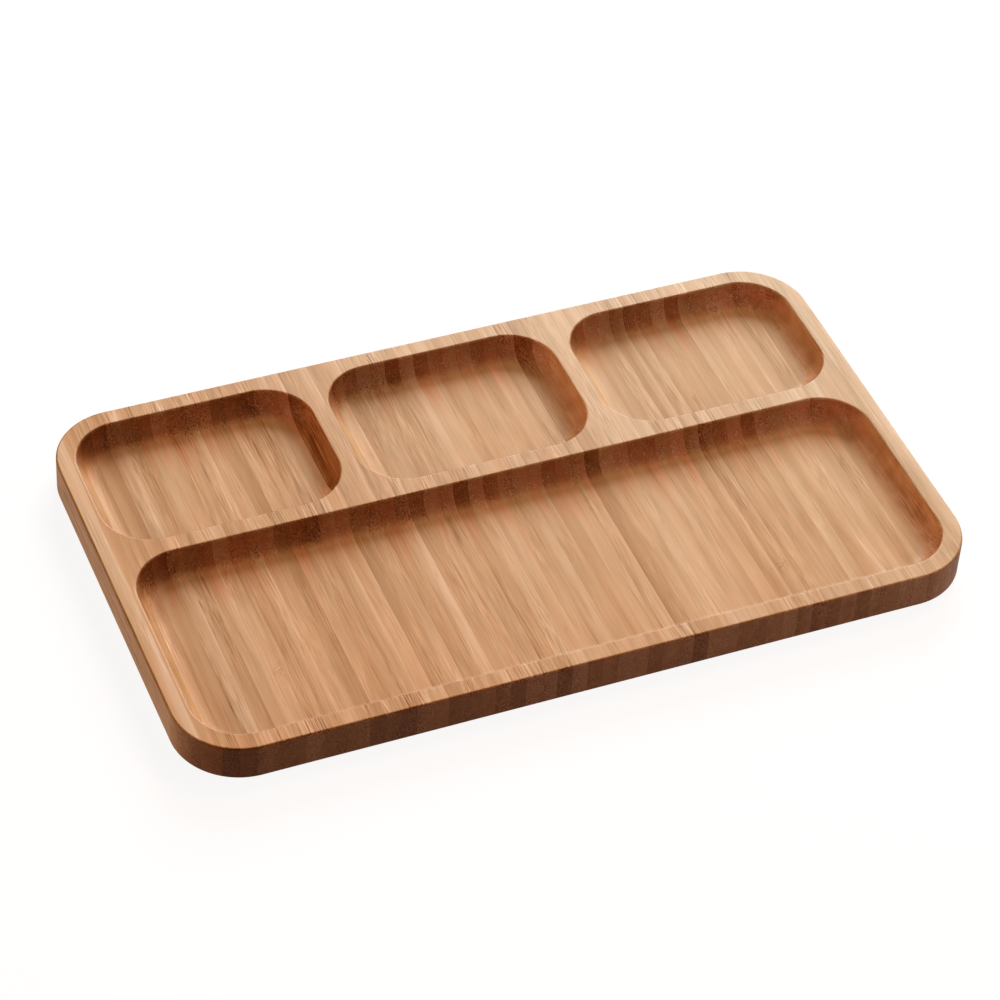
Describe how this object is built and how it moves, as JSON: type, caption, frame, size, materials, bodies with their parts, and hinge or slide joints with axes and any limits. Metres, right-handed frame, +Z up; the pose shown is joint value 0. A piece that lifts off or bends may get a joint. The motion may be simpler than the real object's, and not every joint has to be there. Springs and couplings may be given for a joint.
{
  "type": "divided compartment plate",
  "caption": "Rectangular side-pressed bamboo serving plate with rounded corners, a long front compartment and a row of small compartments behind it, all with coved floors.",
  "frame": {"origin": "centre of the underside, on the surface that the plate rests on", "axes": "+X along the plate's length, to the right when the long compartment is in front; +Y from the front edge to the back row of compartments; +Z up, out of the compartments"},
  "size_m": [0.35, 0.207, 0.017],
  "materials": {
    "bamboo_pale": "sanded and oiled, satin",
    "bamboo_light": "sanded and oiled, satin",
    "bamboo_medium": "sanded and oiled, satin",
    "bamboo_warm": "sanded and oiled, satin",
    "bamboo_deep": "sanded and oiled, satin"
  },
  "bodies": {
    "root": {"strip_01": "bamboo_light", "strip_02": "bamboo_light", "strip_03": "bamboo_warm", "strip_04": "bamboo_warm", "strip_05": "bamboo_pale", "strip_06": "bamboo_medium", "strip_07": "bamboo_light", "strip_08": "bamboo_light", "strip_09": "bamboo_medium", "strip_10": "bamboo_pale", "strip_11": "bamboo_medium", "strip_12": "bamboo_deep", "strip_13": "bamboo_light", "strip_14": "bamboo_medium", "strip_15": "bamboo_light", "strip_16": "bamboo_medium", "strip_17": "bamboo_deep", "strip_18": "bamboo_light", "strip_19": "bamboo_warm", "strip_20": "bamboo_pale", "strip_21": "bamboo_light", "strip_22": "bamboo_medium", "strip_23": "bamboo_light", "strip_24": "bamboo_warm", "strip_25": "bamboo_light", "strip_26": "bamboo_pale", "strip_27": "bamboo_medium", "strip_28": "bamboo_light", "strip_29": "bamboo_light", "strip_30": "bamboo_medium", "strip_31": "bamboo_light", "strip_32": "bamboo_light", "strip_33": "bamboo_deep", "strip_34": "bamboo_warm", "strip_35": "bamboo_light", "strip_36": "bamboo_light", "strip_37": "bamboo_pale", "strip_38": "bamboo_medium", "strip_39": "bamboo_medium", "strip_40": "bamboo_warm", "strip_41": "bamboo_medium", "strip_42": "bamboo_light", "strip_43": "bamboo_medium", "strip_44": "bamboo_light", "strip_45": "bamboo_pale", "strip_46": "bamboo_light", "strip_47": "bamboo_light", "strip_48": "bamboo_pale", "strip_49": "bamboo_light", "strip_50": "bamboo_warm", "strip_51": "bamboo_warm", "strip_52": "bamboo_pale"}
  },
  "joints": []
}
